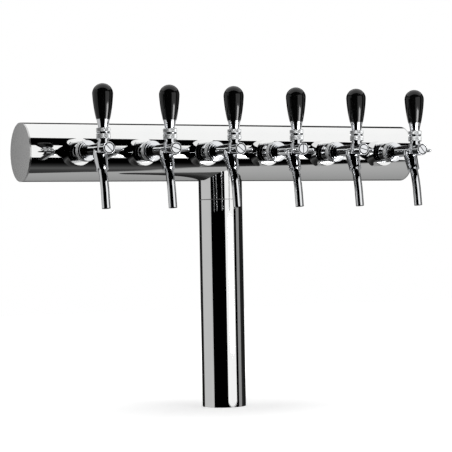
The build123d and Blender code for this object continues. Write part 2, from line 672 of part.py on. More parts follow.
with BuildPart() as bonnet_nut:
    with BuildSketch(HANDLE_SIDE):
        bore_r = NECK_R + BONNET_THREAD_CLEARANCE
        base = NECK_TOP - BONNET_OVER_NECK
        dome_edge_r = BONNET_R - BONNET_CHAMFER
        dome_edge = PIVOT_Z + sqrt(DOME_R**2 - dome_edge_r**2)
        ledge_r = sqrt(BALL_SEAT_R**2 - NECK_ABOVE_PIVOT**2)
        with BuildLine():
            Line((bore_r, base), (BONNET_R, base))
            Line((BONNET_R, base), (BONNET_R, dome_edge - BONNET_CHAMFER))
            Line((BONNET_R, dome_edge - BONNET_CHAMFER), (dome_edge_r, dome_edge))
            RadiusArc((dome_edge_r, dome_edge), (0, PIVOT_Z + DOME_R), -DOME_R)
            Line((0, PIVOT_Z + DOME_R), (0, PIVOT_Z + BALL_SEAT_R))
            RadiusArc((0, PIVOT_Z + BALL_SEAT_R), (ledge_r, NECK_TOP), BALL_SEAT_R)
            Line((ledge_r, NECK_TOP), (bore_r, NECK_TOP))
            Line((bore_r, NECK_TOP), (bore_r, base))
        make_face()
    revolve(axis=HANDLE_AXIS)
    with BuildSketch(HANDLE_SIDE):
        Polygon(
            (-SLOT_REAR, PIVOT_Z + SLOT_BASE),
            (-SLOT_REAR, PIVOT_Z + SLOT_HEIGHT),
            (slot_front(SLOT_HEIGHT), PIVOT_Z + SLOT_HEIGHT),
            (slot_front(SLOT_BASE), PIVOT_Z + SLOT_BASE),
            align=None,
        )
    extrude(amount=SLOT_HALF_WIDTH, both=True, mode=Mode.SUBTRACT)
on_every_tap(bonnet_nut, "bonnet_nuts")

# --- Compensator gland: the nut that seals the flow lever's shaft ---
with BuildPart() as compensator_gland:
    with BuildSketch(SHAFT_SIDE.offset(SIDE_BOSS_END)):
        ring_sketch(GLAND_R, SHAFT_R + SHAFT_CLEARANCE)
    extrude(amount=GLAND_THICKNESS)
on_every_tap(compensator_gland, "compensator_glands")

# --- Handle lever: one turned pin of stem, ball and the finger that drives the plunger ---
with BuildPart() as handle_lever:
    with BuildSketch(HANDLE_SIDE):
        finger_base = sqrt(FINGER_TIP_R**2 - FINGER_R**2)
        ball_base = PIVOT_Z - sqrt(BALL_R**2 - FINGER_R**2)
        ball_top = PIVOT_Z + sqrt(BALL_R**2 - STEM_R**2)
        with BuildLine():
            Line((0, -FINGER_TIP_R), (0, STEM_TOP))
            Line((0, STEM_TOP), (STEM_R, STEM_TOP))
            Line((STEM_R, STEM_TOP), (STEM_R, ball_top))
            ThreePointArc((STEM_R, ball_top), (BALL_R, PIVOT_Z), (FINGER_R, ball_base))
            Line((FINGER_R, ball_base), (FINGER_R, finger_base))
            ThreePointArc((FINGER_R, finger_base), (FINGER_TIP_R, 0), (0, -FINGER_TIP_R))
        make_face()
    revolve(axis=HANDLE_AXIS)
one_for_each_tap(handle_lever, "handle_lever")

# --- Handle ferrule: chromed foot of the handle, hollowed below to glide over the dome ---
with BuildPart() as handle_ferrule:
    with BuildSketch(HANDLE_SIDE):
        bore_r = STEM_R + STEM_CLEARANCE
        hollow_r = DOME_R + DOME_GAP
        hollow_top = PIVOT_Z + sqrt(hollow_r**2 - bore_r**2)
        skirt_base_r = BONNET_R - BONNET_CHAMFER
        skirt_base = PIVOT_Z + sqrt(hollow_r**2 - skirt_base_r**2)
        with BuildLine():
            RadiusArc((bore_r, hollow_top), (skirt_base_r, skirt_base), hollow_r)
            Line((skirt_base_r, skirt_base), (BONNET_R, skirt_base + BONNET_CHAMFER))
            Line((BONNET_R, skirt_base + BONNET_CHAMFER), (BONNET_R, SKIRT_TOP))
            Line((BONNET_R, SKIRT_TOP), (FERRULE_WAIST_R, SKIRT_TOP))
            Line((FERRULE_WAIST_R, SKIRT_TOP), (FERRULE_TOP_R, FERRULE_TOP - FERRULE_BEAD))
            Line((FERRULE_TOP_R, FERRULE_TOP - FERRULE_BEAD), (FERRULE_TOP_R, FERRULE_TOP))
            Line((FERRULE_TOP_R, FERRULE_TOP), (bore_r, FERRULE_TOP))
            Line((bore_r, FERRULE_TOP), (bore_r, hollow_top))
        make_face()
    revolve(axis=HANDLE_AXIS)
one_for_each_tap(handle_ferrule, "handle_ferrule")

# --- Handle knob: moulded grip that widens upwards to a dome, screwed on the stem ---
with BuildPart() as handle_knob:
    with BuildSketch(HANDLE_SIDE):
        bore_r = STEM_R + STEM_CLEARANCE
        bore_top = STEM_TOP + KNOB_BORE_SPARE
        dome_centre = KNOB_TOP - KNOB_R
        with BuildLine():
            Line((bore_r, FERRULE_TOP), (KNOB_BOTTOM_R, FERRULE_TOP))
            ThreePointArc(
                (KNOB_BOTTOM_R, FERRULE_TOP),
                (KNOB_MIDDLE_R, FERRULE_TOP + KNOB_MIDDLE),
                (KNOB_R, dome_centre),
            )
            RadiusArc((KNOB_R, dome_centre), (0, KNOB_TOP), -KNOB_R)
            Line((0, KNOB_TOP), (0, bore_top))
            Line((0, bore_top), (bore_r, bore_top))
            Line((bore_r, bore_top), (bore_r, FERRULE_TOP))
        make_face()
    revolve(axis=HANDLE_AXIS)
one_for_each_tap(handle_knob, "handle_knob")

# --- Valve plunger: head behind the seat, stem through it, piston with the finger's pocket ---
HEAD_FRONT = SEAT_START - PLUNGER_SEAT_GAP
PISTON_START = HANDLE_REACH - PISTON_BEHIND_HANDLE
PISTON_END = HANDLE_REACH + PISTON_PAST_HANDLE
POCKET_R = FINGER_TIP_R + POCKET_SIDE_GAP
POCKET_FLOOR = -(FINGER_TIP_R + POCKET_FLOOR_GAP)
FINGER_SWING = PIVOT_Z * sin(radians(HANDLE_THROW)) - (PIVOT_Z - PISTON_R) * THROW_SLOPE
POCKET_TOP_R = FINGER_SWING + FINGER_HALF_WIDTH + POCKET_TOP_GAP
with BuildPart() as valve_plunger:
    with BuildSketch(SIDE):
        with BuildLine():
            Polyline(
                (HEAD_FRONT - PLUNGER_HEAD_THICKNESS, 0),
                (HEAD_FRONT - PLUNGER_HEAD_THICKNESS, PLUNGER_HEAD_R),
                (HEAD_FRONT, PLUNGER_HEAD_R),
                (HEAD_FRONT, PLUNGER_STEM_R),
                (PISTON_START, PLUNGER_STEM_R),
                (PISTON_START, PISTON_R),
                (PISTON_END, PISTON_R),
                (PISTON_END, 0),
                close=True,
            )
        make_face()
    revolve(axis=AHEAD)
    with BuildSketch(HANDLE_SIDE):
        with BuildLine():
            Polyline(
                (0, POCKET_FLOOR),
                (POCKET_R, POCKET_FLOOR),
                (POCKET_R, POCKET_CONE_BASE),
                (POCKET_TOP_R, PISTON_R),
                (POCKET_TOP_R, PISTON_R + 1),
                (0, PISTON_R + 1),
                close=True,
            )
        make_face()
    revolve(axis=HANDLE_AXIS, mode=Mode.SUBTRACT)
one_for_each_tap(valve_plunger, "valve_plunger")

# --- Compensator lever: shaft with an eccentric pin inside, hub and ball-ended arm outside ---
SHAFT_INNER_END = BLADE_HALF_THICKNESS + SHAFT_TO_BLADE_GAP
HUB_START = SIDE_BOSS_END + GLAND_THICKNESS + HUB_GAP
ARM_ROOT_X = HUB_START + HUB_THICKNESS / 2
ARM_BALL_X = HUB_START + HUB_THICKNESS + ARM_BALL_OUT
with BuildPart() as compensator_lever:
    with BuildSketch(SHAFT_SIDE.offset(SHAFT_INNER_END)):
        Circle(SHAFT_R)
    extrude(amount=HUB_START - SHAFT_INNER_END)
    with BuildSketch(SHAFT_SIDE.offset(HUB_START)):
        Circle(HUB_R)
    extrude(amount=HUB_THICKNESS)
    with BuildSketch(SHAFT_SIDE.offset(-BLADE_HALF_THICKNESS)):
        with Locations((0, ECCENTRIC)):
            Circle(PIN_R)
    extrude(amount=BLADE_HALF_THICKNESS + SHAFT_INNER_END)
    arm = Vector(ARM_BALL_X - ARM_ROOT_X, -ARM_REACH, 0)
    with BuildSketch(Plane(origin=(ARM_ROOT_X, -COMPENSATOR_AT, 0), z_dir=arm)):
        Circle(ARM_ROOT_R)
    extrude(amount=arm.length, taper=degrees(atan((ARM_ROOT_R - ARM_TIP_R) / arm.length)))
    with Locations((ARM_BALL_X, -(COMPENSATOR_AT + ARM_REACH), 0)):
        Sphere(ARM_BALL_R)
one_for_each_tap(compensator_lever, "compensator_lever")


# --- Compensator cone: throttles the rear chamber, moved by the pin in its blade's slot ---
def rear_chamber_r(ahead):
    """The rear chamber's radius at this distance ahead of the boss face."""
    share = (ahead - BODY_BACK) / (REAR_CHAMBER_TAPER_END - BODY_BACK)
    return REAR_CHAMBER_R + share * (REAR_CHAMBER_FRONT_R - REAR_CHAMBER_R)


CONE_START = BODY_BACK + CONE_FROM_TAIL
CONE_END = COMPENSATOR_AT - CONE_BEHIND_SHAFT
BLADE_END = COMPENSATOR_AT + BLADE_PAST_SHAFT
BLADE_SLOT_TOP = ECCENTRIC + PIN_R + BLADE_SLOT_CLEARANCE
with BuildPart() as compensator_cone:
    with BuildSketch(SIDE):
        Polygon(
            (CONE_START, 0),
            (CONE_START, rear_chamber_r(CONE_START) - CONE_GAP),
            (CONE_END, rear_chamber_r(CONE_END) - CONE_GAP),
            (CONE_END, 0),
            align=None,
        )
    revolve(axis=AHEAD)
    with BuildSketch(SIDE):
        with Locations(((CONE_END + BLADE_END) / 2, 0)):
            Rectangle(BLADE_END - CONE_END, 2 * BLADE_HALF_HEIGHT)
        with Locations((COMPENSATOR_AT, (BLADE_SLOT_BOTTOM + BLADE_SLOT_TOP) / 2)):
            Rectangle(
                2 * (PIN_R + BLADE_SLOT_CLEARANCE),
                BLADE_SLOT_TOP - BLADE_SLOT_BOTTOM,
                mode=Mode.SUBTRACT,
            )
    extrude(amount=BLADE_HALF_THICKNESS, both=True)
one_for_each_tap(compensator_cone, "compensator_cone")

# --- Beer lines: one from each shank's tail, side by side in the tube, down the column ---
LINE_START_Y = BOSS_FACE_Y - SHANK_BACK - LINE_SOCKET_DEPTH
with BuildPart() as beer_lines:
    for number, x in enumerate(TAP_XS):
        side = -1 if x < 0 else 1
        order = min(number, TAP_COUNT - 1 - number)
        angle = radians(360 / TAP_COUNT * (order + 0.5))
        down_x = side * LINE_CIRCLE_R * sin(angle)
        down_y = LINE_CIRCLE_R * cos(angle)
        with BuildLine() as route:
            FilletPolyline(
                (x, LINE_START_Y, TAP_Z),
                (x, down_y, TAP_Z),
                (down_x, down_y, TAP_Z),
                (down_x, down_y, LINE_END_Z),
                radius=[LINE_FIRST_BEND_R, LINE_SECOND_BEND_R],
            )
        with BuildSketch(Plane(origin=(x, LINE_START_Y, TAP_Z), z_dir=(0, 1, 0))):
            ring_sketch(LINE_R, LINE_R - LINE_WALL)
        sweep(path=route.wires()[0])
beer_lines.part.label = "beer_lines"
export_step(beer_lines.part, "parts/beer_lines.step")
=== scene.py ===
from math import cos, pi, radians, sin

import bmesh
import bpy
from mathutils import Matrix, Vector


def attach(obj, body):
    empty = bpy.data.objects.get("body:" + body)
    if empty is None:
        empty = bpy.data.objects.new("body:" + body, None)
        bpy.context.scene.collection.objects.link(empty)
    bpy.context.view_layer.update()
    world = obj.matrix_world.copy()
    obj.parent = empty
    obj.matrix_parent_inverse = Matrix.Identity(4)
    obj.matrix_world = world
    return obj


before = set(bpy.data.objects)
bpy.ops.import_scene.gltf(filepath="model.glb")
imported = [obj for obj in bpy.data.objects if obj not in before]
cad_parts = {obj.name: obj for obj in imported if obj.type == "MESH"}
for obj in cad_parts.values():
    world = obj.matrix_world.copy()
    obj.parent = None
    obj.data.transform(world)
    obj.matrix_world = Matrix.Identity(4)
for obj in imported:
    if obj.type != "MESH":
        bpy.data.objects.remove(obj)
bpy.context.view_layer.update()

# --- Camera: a long lens on a stand, a little above half the tower's height ---
# It stands to the left of the tower and looks along the cross tube at an angle, so that the
# six taps show side by side without hiding one another.
CAMERA_PLACE = Vector((-1.4142, -2.9699, 0.3110))
CAMERA_YAW = radians(25.625)
CAMERA_PITCH = radians(0.351)
CAMERA_ROLL = radians(-1.071)
LENS_MM = 142.03
SENSOR_MM = 36
SIGHT_END = 50
forward = Vector(
    (sin(CAMERA_YAW) * cos(CAMERA_PITCH), cos(CAMERA_YAW) * cos(CAMERA_PITCH), sin(CAMERA_PITCH))
)
level_right = Vector((cos(CAMERA_YAW), -sin(CAMERA_YAW), 0))
level_up = level_right.cross(forward)
right = level_right * cos(CAMERA_ROLL) + level_up * sin(CAMERA_ROLL)
up = level_up * cos(CAMERA_ROLL) - level_right * sin(CAMERA_ROLL)
camera = bpy.data.objects.new("camera", bpy.data.cameras.new("camera"))
camera.data.lens = LENS_MM
camera.data.sensor_width = SENSOR_MM
camera.data.clip_end = SIGHT_END
facing = Matrix((right, up, -forward)).transposed().to_4x4()
camera.matrix_world = Matrix.Translation(CAMERA_PLACE) @ facing
bpy.context.scene.collection.objects.link(camera)
bpy.context.scene.camera = camera
bpy.context.scene.view_settings.view_transform = "Standard"

# --- Studio: dark room with a pale board low behind the tower and dim paper in front ---
# A mirror finish shows only what stands round it. Between the lamps the room is nearly black,
# which gives the polished tubes their dark bands; the camera itself sees plain white.
WHITE = (1, 1, 1, 1)
# Each level stands at a tilt in degrees: 0 ahead of the taps, -90 below, 90 above, 180 behind.
FRONT_LEVELS = (
    (-180, 0.012), (-95, 0.02), (-88, 0.04), (-80, 0.045), (-74, 0.06), (-67, 0.1), (-61, 0.055),
    (-54, 0.02), (-46, 0.003), (-42, 0.0003), (85, 0.0003), (95, 0.012), (180, 0.012),
)
BOARD_LEVELS = ((-180, 0.02), (-168, 0.03), (-158, 0.3), (-140, 0.33), (-100, 0.4), (-60, 0.46))
# Seen from the tower, the board's left and near edges lie in planes with these normals.
BOARD_EDGES = ((1.11, 1.0, 0.5235), (0.66, 1.0, 0.2195))
BOARD_EDGE_BLUR = 0.01
BOARD_TOP = -0.4


def linear(colour):
    """An sRGB hex colour as the linear colour that a shader's socket takes."""
    channels = [int(colour[start : start + 2], 16) / 255 for start in (1, 3, 5)]
    return [c / 12.92 if c <= 0.04045 else ((c + 0.055) / 1.055) ** 2.4 for c in channels] + [1]


def node(tree, kind, settings=None, **links):
    """Add a node: settings go on the node or its sockets, links join sockets to its inputs."""
    made = tree.nodes.new(kind)
    for key, value in (settings or {}).items():
        if isinstance(key, int) or key in made.inputs:
            made.inputs[key].default_value = value
        else:
            setattr(made, key, value)
    for key, source in links.items():
        number = key[1:]
        name = int(number) if number.isdigit() else key.replace("_", " ")
        tree.links.new(source, made.inputs[name])
    return made


world = bpy.data.worlds.new("studio")
bpy.context.scene.world = world
world.use_nodes = True
tree = world.node_tree
tree.nodes.clear()
way = node(tree, "ShaderNodeTexCoord").outputs["Generated"]
parts = node(tree, "ShaderNodeSeparateXYZ", Vector=way)
ahead = node(tree, "ShaderNodeMath", {"operation": "MULTIPLY", 1: -1.0}, _0=parts.outputs["Y"])
tilt = node(
    tree,
    "ShaderNodeMath",
    {"operation": "ARCTAN2"},
    _0=parts.outputs["Z"],
    _1=ahead.outputs[0],
)
tilt_share = node(
    tree, "ShaderNodeMath", {"operation": "MULTIPLY_ADD", 1: 0.5 / pi, 2: 0.5}, _0=tilt.outputs[0]
)
room_levels = []
for levels in (FRONT_LEVELS, BOARD_LEVELS):
    ramp = node(tree, "ShaderNodeValToRGB", Fac=tilt_share.outputs[0])
    stops = ramp.color_ramp.elements
    shares = [angle / 360 + 0.5 for angle, _ in levels]
    stops[0].position, stops[1].position = shares[0], shares[-1]
    for share in shares[1:-1]:
        stops.new(share)
    for stop, (_, level) in zip(stops, levels):
        stop.color = (level, level, level, 1)
    room_levels.append(ramp.outputs["Color"])
swung = node(tree, "ShaderNodeMapping", {"Rotation": (0, 0, CAMERA_YAW)}, Vector=way).outputs[0]
beyond = [
    node(tree, "ShaderNodeVectorMath", {"operation": "DOT_PRODUCT", 1: edge}, _0=swung)
    for edge in BOARD_EDGES
]
inside = node(
    tree,
    "ShaderNodeMath",
    {"operation": "MINIMUM"},
    _0=beyond[0].outputs["Value"],
    _1=beyond[1].outputs["Value"],
)
edge_share = node(
    tree,
    "ShaderNodeMapRange",
    {"From Min": -BOARD_EDGE_BLUR, "From Max": BOARD_EDGE_BLUR},
    Value=inside.outputs[0],
)
low = node(
    tree, "ShaderNodeMath", {"operation": "LESS_THAN", 1: BOARD_TOP}, _0=parts.outputs["Z"]
)
on_board = node(
    tree, "ShaderNodeMath", {"operation": "MULTIPLY"}, _0=edge_share.outputs[0], _1=low.outputs[0]
)
room = node(
    tree,
    "ShaderNodeMix",
    {"data_type": "RGBA"},
    _0=on_board.outputs[0],
    _6=room_levels[0],
    _7=room_levels[1],
)
rays = node(tree, "ShaderNodeLightPath")
seen = node(
    tree,
    "ShaderNodeMix",
    {"data_type": "RGBA", 7: WHITE},
    _0=rays.outputs["Is Camera Ray"],
    _6=room.outputs[2],
)
background = node(tree, "ShaderNodeBackground", Color=seen.outputs[2])
node(tree, "ShaderNodeOutputWorld", Surface=background.outputs[0])

# --- Lamps: a ceiling softbox, a window and a strip in front, a card on each side ---
# Each is a plain rectangle of even light, mirrored by the metal but unseen by the camera. The
# strip is small, strong and low, and draws the long highlight on the black knobs.
CEILING_SIZE = (7, 4.4)
CEILING_LEVEL = 1.07
CEILING_BEHIND = 1.0
CEILING_HEIGHT = 2.8
# Each row gives an upright lamp's width and height, its level, its turn in degrees from the
# camera as seen from the column, its distance from there and the height of its middle.
UPRIGHT_LAMPS = {
    "window": ((1.25, 1.24), 1.05, 47, 1.4, 0.49),
    "strip": ((0.5, 0.34), 12.0, 50, 1.35, 0.19),
    "left_card": ((1.694, 1.4), 0.56, -87, 1.2, 0.5),
    "right_card": ((0.46, 1.4), 0.3, 97, 1.2, 0.5),
}
QUARTER_TURN = Matrix.Rotation(radians(90), 4, "X")


def softbox(name, size, level, place):
    """A light panel of this width and height in metres, level 1 being paper white."""
    light = bpy.data.lights.new(name, "AREA")
    light.shape = "RECTANGLE"
    light.size, light.size_y = size
    light.energy = pi * size[0] * size[1] * level
    panel = bpy.data.objects.new(name, light)
    panel.matrix_world = place
    panel.visible_camera = False
    bpy.context.scene.collection.objects.link(panel)


overhead = Vector(
    (sin(CAMERA_YAW) * CEILING_BEHIND, cos(CAMERA_YAW) * CEILING_BEHIND, CEILING_HEIGHT)
)
ceiling_place = Matrix.Translation(overhead) @ Matrix.Rotation(-CAMERA_YAW, 4, "Z")
softbox("ceiling", CEILING_SIZE, CEILING_LEVEL, ceiling_place)
for name, (size, level, turn, away, middle) in UPRIGHT_LAMPS.items():
    heading = radians(turn) - CAMERA_YAW
    spot = Matrix.Translation((sin(heading) * away, -cos(heading) * away, middle))
    softbox(name, size, level, spot @ Matrix.Rotation(heading, 4, "Z") @ QUARTER_TURN)

# --- Floor: seamless pale paper, rolled out flat under the column's foot ---
# It is matt and keeps the tower's soft shadow near the foot; the mirror-finished pieces show
# the studio round it instead of the paper itself.
FLOOR_HALF = 4.0
SHADOW_NEAR = 0.1
SHADOW_FAR = 0.8
GLOW_NEAR = 0.45
GLOW_FAR = 1.0
mesh = bmesh.new()
bmesh.ops.create_grid(mesh, x_segments=1, y_segments=1, size=FLOOR_HALF)
floor_mesh = bpy.data.meshes.new("floor")
mesh.to_mesh(floor_mesh)
mesh.free()
floor = bpy.data.objects.new("floor", floor_mesh)
bpy.context.scene.collection.objects.link(floor)
paper = bpy.data.materials.new("pale_paper")
paper.use_nodes = True
tree = paper.node_tree
tree.nodes.clear()
rays = node(tree, "ShaderNodeLightPath")
where = node(tree, "ShaderNodeTexCoord").outputs["Object"]
from_foot = node(tree, "ShaderNodeVectorMath", {"operation": "LENGTH"}, _0=where)
glow_level = node(
    tree,
    "ShaderNodeMapRange",
    {"From Min": SHADOW_NEAR, "From Max": SHADOW_FAR, "To Min": GLOW_NEAR, "To Max": GLOW_FAR},
    Value=from_foot.outputs["Value"],
)
matt = node(tree, "ShaderNodeBsdfDiffuse", {"Color": linear("#E8E8E8")})
glow = node(tree, "ShaderNodeEmission", {"Color": WHITE}, Strength=glow_level.outputs["Result"])
lit = node(tree, "ShaderNodeAddShader", _0=matt.outputs[0], _1=glow.outputs[0])
plain = node(
    tree,
    "ShaderNodeMixShader",
    _0=rays.outputs["Is Camera Ray"],
    _1=matt.outputs[0],
    _2=lit.outputs[0],
)
clear = node(tree, "ShaderNodeBsdfTransparent")
shown = node(
    tree,
    "ShaderNodeMixShader",
    _0=rays.outputs["Is Glossy Ray"],
    _1=plain.outputs[0],
    _2=clear.outputs[0],
)
node(tree, "ShaderNodeOutputMaterial", Surface=shown.outputs[0])
floor_mesh.materials.append(paper)

# --- Cross tube, neck and column: drawn stainless tube, welded in a T and buffed to a mirror ---
# Polished stainless: a clean, slightly warm-grey mirror. Buffing leaves a faint haze in
# patches a few centimetres wide and a very shallow wave that only bends reflections.
MM_IN_A_METRE = 1000


def surface(name):
    """A new material with an empty tree, and the object coordinates that its patterns use."""
    made = bpy.data.materials.new(name)
    made.use_nodes = True
    made.node_tree.nodes.clear()
    return made, made.node_tree, node(made.node_tree, "ShaderNodeTexCoord").outputs["Object"]


def lay_finish(tree, colours, roughs, share, height, depth, optics, strength=1.0, spread=(0, 1)):
    """Shade a surface: share picks between the colours and roughnesses, height makes bumps.

    The roughness goes from one value to the other while share goes over spread. The bumps are
    depth deep in mm. What is the same all over, such as the IOR, is given in optics.
    """
    tint = node(
        tree,
        "ShaderNodeMix",
        {"data_type": "RGBA", 6: linear(colours[0]), 7: linear(colours[1])},
        _0=share,
    )
    rough = node(
        tree,
        "ShaderNodeMapRange",
        {"From Min": spread[0], "From Max": spread[1], "To Min": roughs[0], "To Max": roughs[1]},
        Value=share,
    )
    bump = node(
        tree,
        "ShaderNodeBump",
        {"Strength": strength, "Distance": depth / MM_IN_A_METRE},
        Height=height,
    )
    shader = node(
        tree,
        "ShaderNodeBsdfPrincipled",
        optics,
        Base_Color=tint.outputs[2],
        Roughness=rough.outputs["Result"],
        Normal=bump.outputs["Normal"],
    )
    node(tree, "ShaderNodeOutputMaterial", Surface=shader.outputs[0])


def buffed_metal(name, colours, roughs, haze_width, wave_width, wave_height):
    """Metal with two colours and roughnesses in soft patches; widths and height in mm."""
    made, tree, where = surface(name)
    haze, wave = (
        node(
            tree,
            "ShaderNodeTexNoise",
            {"Scale": MM_IN_A_METRE / width, "Detail": detail},
            Vector=where,
        ).outputs["Fac"]
        for width, detail in ((haze_width, 5.0), (wave_width, 1.0))
    )
    metal = {"Metallic": 1.0}
    lay_finish(tree, colours, roughs, haze, wave, wave_height, metal, spread=(0.3, 0.7))
    return made


def finish_nodes(material, *names):
    """Give these CAD pieces their finish."""
    for name in names:
        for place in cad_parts[name].material_slots:
            place.material = material


polished_stainless = buffed_metal(
    "polished_stainless", ("#EFEFEE", "#E9EAEA"), (0.022, 0.04), 45, 30, 0.006
)
finish_nodes(polished_stainless, "cross_tube", "neck_tube", "column_tube")

# --- Seam ring: the thin band where column and neck meet ---
# A packing ring of satin stainless fills the small groove between the two tubes; it stays dull
# because the buffing wheel passes over it, and shows as one fine grey line round the column.
SEAM_Z = 0.380
SEAM_RING_R = 0.04004
SEAM_RING_HEIGHT = 0.0014
SEAM_RING_THICKNESS = 0.0006


def finished(mesh, name, material, body):
    """Turn a bmesh into a piece that rides on a body, its faces outward."""
    bmesh.ops.recalc_face_normals(mesh, faces=mesh.faces)
    data = bpy.data.meshes.new(name)
    mesh.to_mesh(data)
    mesh.free()
    data.materials.append(material)
    piece = bpy.data.objects.new(name, data)
    bpy.context.scene.collection.objects.link(piece)
    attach(piece, body)


seam_steel = buffed_metal("satin_seam_stainless", ("#8E8E8E", "#9A9A9A"), (0.45, 0.6), 6, 3, 0.003)
mesh = bmesh.new()
corners = [
    mesh.verts.new((SEAM_RING_R - inward, 0, SEAM_Z + rise * SEAM_RING_HEIGHT / 2))
    for inward, rise in ((0, -1), (0, 1), (SEAM_RING_THICKNESS, 1), (SEAM_RING_THICKNESS, -1))
]
section = [mesh.edges.new((corners[step - 1], corners[step])) for step in range(4)]
bmesh.ops.spin(
    mesh,
    geom=corners + section,
    cent=(0, 0, 0),
    axis=(0, 0, 1),
    angle=2 * pi,
    steps=160,
    use_merge=True,
)
finished(mesh, "seam_ring", seam_steel, "root")

# --- Joint sleeve, grub screws and base ring: the hidden steel that holds the column ---
# Machined stainless: a dull blue-grey metal with rings left by the tool, about a quarter of a
# millimetre apart. Too fine to show, they are drawn twenty times as coarse, as a soft ripple.
RING_SPACING_MM = 5
# A wave pattern's bands are this far apart, in millimetres, at a scale of 1.
BANDS_MM = 314
MOTTLE_MM = 4
machined_stainless, tree, where = surface("machined_stainless")
rings = node(
    tree,
    "ShaderNodeTexWave",
    {
        "wave_type": "BANDS",
        "bands_direction": "Z",
        "Scale": BANDS_MM / RING_SPACING_MM,
        "Distortion": 0.4,
    },
    Vector=where,
)
mottle = node(
    tree, "ShaderNodeTexNoise", {"Scale": MM_IN_A_METRE / MOTTLE_MM, "Detail": 6.0}, Vector=where
)
lay_finish(
    tree,
    ("#AEB1B3", "#C4C6C6"),
    (0.3, 0.5),
    mottle.outputs["Fac"],
    rings.outputs["Fac"],
    depth=0.03,
    optics={"Metallic": 1.0},
    strength=0.6,
)
finish_nodes(machined_stainless, "joint_sleeve", "joint_screws", "base_ring")

# --- End caps: flat stainless discs pressed into the ends of the cross tube ---
# Satin stainless: polished after fitting but less than the tube, so that it shows one even
# grey instead of a sharp picture of the room.
satin_stainless = buffed_metal("satin_stainless", ("#C9C9C8", "#CECECE"), (0.2, 0.28), 12, 3, 0.003)
finish_nodes(satin_stainless, "end_cap_left", "end_cap_right")

# --- Tap bosses and their seals: welded cups, each faced by a flat rubber ring ---
# The cup is buffed with the tube. The seal is black nitrile rubber, cut from sheet: nearly
# black, matt, with a faint bloom and the fine grain of the sheet.
RUBBER_GRAIN_MM = 0.8
finish_nodes(polished_stainless, "tap_bosses")
nitrile_rubber, tree, where = surface("black_nitrile_rubber")
grain = node(
    tree,
    "ShaderNodeTexNoise",
    {"Scale": MM_IN_A_METRE / RUBBER_GRAIN_MM, "Detail": 4.0},
    Vector=where,
).outputs["Fac"]
lay_finish(
    tree,
    ("#141414", "#222323"),
    (0.55, 0.75),
    grain,
    grain,
    depth=0.05,
    optics={"IOR": 1.52},
    strength=0.5,
)
finish_nodes(nitrile_rubber, "boss_seals", "tail_seals")

# --- Shanks: turned brass pipes through boss and tube, each with a grooved collar in front ---
# Chrome-plated brass: a cooler, slightly darker mirror than stainless, and crisp, because the
# plating follows the turned surface.
TURNED_CHROME = (("#E8E9EB", "#DFE1E4"), (0.03, 0.06), 9, 14, 0.006)
turned_chrome = buffed_metal("chrome_plated_turned_brass", *TURNED_CHROME)
finish_nodes(turned_chrome, "shanks")

# --- Shank nuts, saddle washers and retaining rings: what clamps each shank inside ---
# The nut is bare brass, yellow and a little tarnished in patches; washer and ring are plain
# machined stainless.
bare_brass = buffed_metal("bare_turned_brass", ("#D6B368", "#B98F4C"), (0.18, 0.36), 6, 2, 0.01)
finish_nodes(bare_brass, "shank_nuts")
finish_nodes(machined_stainless, "saddle_washers", "retaining_rings")

# --- Coupling nuts: chrome-plated sleeve nuts, grooved behind, knurled for the hand in front ---
# The knurl is straight: teeth about 1.5 mm apart with crests worn soft by hands and polish,
# their ends bevelled off.
TAPS = range(1, 7)
TAP_PITCH = 0.122
ROW_MIDDLE = 3.5
TAP_XS = [(tap - ROW_MIDDLE) * TAP_PITCH for tap in TAPS]
TAP_Z = 0.463
BOSS_FACE_Y = -0.078
COUPLING_BAND = (0.0257, 0.0369)
COUPLING_VALLEY_R = 0.01803
COUPLING_CREST_R = 0.0184
COUPLING_TEETH = 75
COUPLING_SKIN = 0.0006
COUPLING_BEVEL = 0.0004


def ahead_of_boss(x, depth):
    """The place of a round piece on a tap's level axis, this far ahead of the boss's face."""
    return Matrix.Translation((x, BOSS_FACE_Y - depth, TAP_Z)) @ QUARTER_TURN


def knurled_band(mesh, teeth, valley_r, crest_r, skin, length, bevel, place):
    """A toothed ring, made upright from the origin and then put at its place."""
    rim = bmesh.ops.create_circle(mesh, segments=2 * teeth, radius=crest_r)["verts"]
    for valley in rim[1::2]:
        valley.co *= valley_r / crest_r
    low_edges = list({edge for vert in rim for edge in vert.link_edges})
    every_vert = set(rim)

    def carried(edges, rise, grow):
        """Carry a loop of edges up by rise, grown about the axis, leaving faces behind it."""
        made = bmesh.ops.extrude_edge_only(mesh, edges=edges)["geom"]
        verts = [piece for piece in made if isinstance(piece, bmesh.types.BMVert)]
        bmesh.ops.scale(mesh, vec=(grow, grow, 1), verts=verts)
        bmesh.ops.translate(mesh, vec=(0, 0, rise), verts=verts)
        every_vert.update(verts)
        return [piece for piece in made if isinstance(piece, bmesh.types.BMEdge)]

    shrink = 1 - bevel / crest_r
    bmesh.ops.scale(mesh, vec=(shrink, shrink, 1), verts=rim)
    edges = carried(low_edges, bevel, 1 / shrink)
    edges = carried(edges, length - 2 * bevel, 1)
    edges = carried(edges, bevel, shrink)
    inner = (valley_r - skin) / crest_r / shrink
    edges = carried(edges, 0, inner)
    last = carried(low_edges, 0, inner)
    bmesh.ops.bridge_loops(mesh, edges=edges + last)
    bmesh.ops.transform(mesh, matrix=place, verts=list(every_vert))


